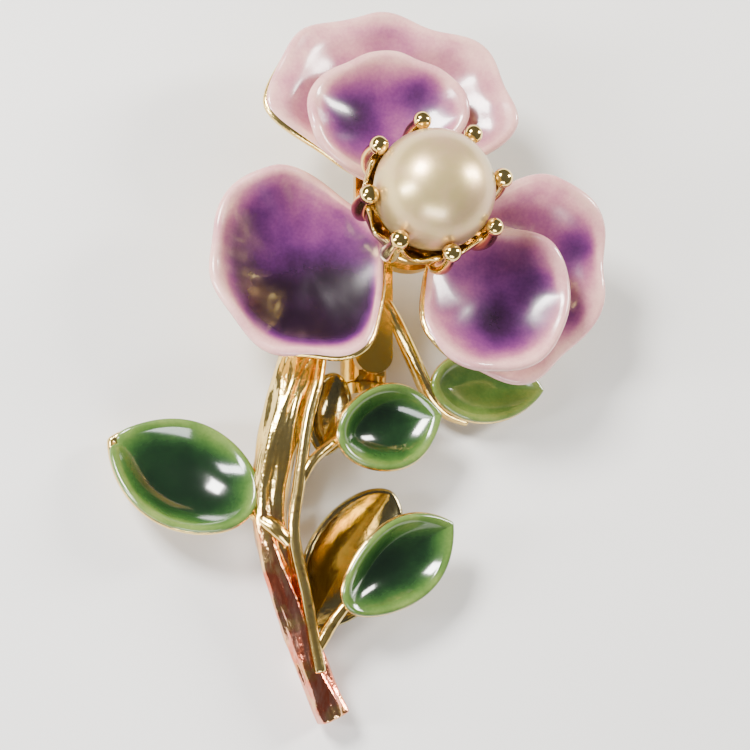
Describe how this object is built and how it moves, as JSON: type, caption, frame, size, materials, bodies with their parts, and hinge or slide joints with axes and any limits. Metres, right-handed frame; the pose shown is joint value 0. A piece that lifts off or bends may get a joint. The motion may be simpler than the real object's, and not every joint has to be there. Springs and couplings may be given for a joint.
{
  "type": "flower hat pin",
  "caption": "Enamelled flower spray with cupped petals round a pearl, leaves on a ridged stem, and a hinged pin with a turning safety catch behind.",
  "frame": {"origin": "under the middle of the spray's box, on the plane that it lies on", "axes": "+Z out of the flower's front, +Y from the stem's cut end to the flower, +X to the right seen from the front"},
  "size_m": [0.0331, 0.0482, 0.016],
  "materials": {
    "gold_plate": "polished pale gold plate, turning copper red on the lower stem",
    "petal_enamel": "glossy vitreous enamel, violet fading to pale pink at the rim",
    "leaf_enamel": "glossy translucent green enamel, lighter at the rim",
    "pearl": "cream pearl lustre",
    "pin_wire": "drawn wire, thinly gilded"
  },
  "bodies": {
    "brooch": {"main_stem": "gold_plate", "side_stem": "gold_plate", "left_leaf_stalk": "gold_plate", "middle_leaf_stalk": "gold_plate", "lower_leaf_stalk": "gold_plate", "right_leaf_stalk": "gold_plate", "left_leaf": "gold_plate", "middle_leaf": "gold_plate", "lower_leaf": "gold_plate", "right_leaf": "gold_plate", "left_leaf_enamel": "leaf_enamel", "middle_leaf_enamel": "leaf_enamel", "lower_leaf_enamel": "leaf_enamel", "right_leaf_enamel": "leaf_enamel", "middle_leaf_fold": "gold_plate", "lower_leaf_fold": "gold_plate", "top_back_petal": "gold_plate", "top_front_petal": "gold_plate", "left_petal": "gold_plate", "right_back_petal": "gold_plate", "right_front_petal": "gold_plate", "top_back_enamel": "petal_enamel", "top_front_enamel": "petal_enamel", "left_enamel": "petal_enamel", "right_back_enamel": "petal_enamel", "right_front_enamel": "petal_enamel", "calyx": "gold_plate", "pearl_setting": "gold_plate", "pearl": "pearl", "pearl_peg": "gold_plate", "centre_rivet": "gold_plate", "back_plate": "gold_plate", "hinge_bracket": "gold_plate", "hinge_rivet": "gold_plate", "catch_housing": "gold_plate"},
    "pin": {"pin_stem": "pin_wire"},
    "roller": {"catch_roller": "gold_plate"}
  },
  "joints": [
    {"name": "pin_hinge", "type": "hinge", "parent": "brooch", "child": "pin", "pos_m": [0.00065, 0.0178, 0.0015], "axis": [1, 0, 0], "range_deg": [0, 75]},
    {"name": "catch_turn", "type": "hinge", "parent": "brooch", "child": "roller", "pos_m": [0.00065, 0.0002, 0.0015], "axis": [0, -1, 0], "range_deg": [0, 100]}
  ]
}
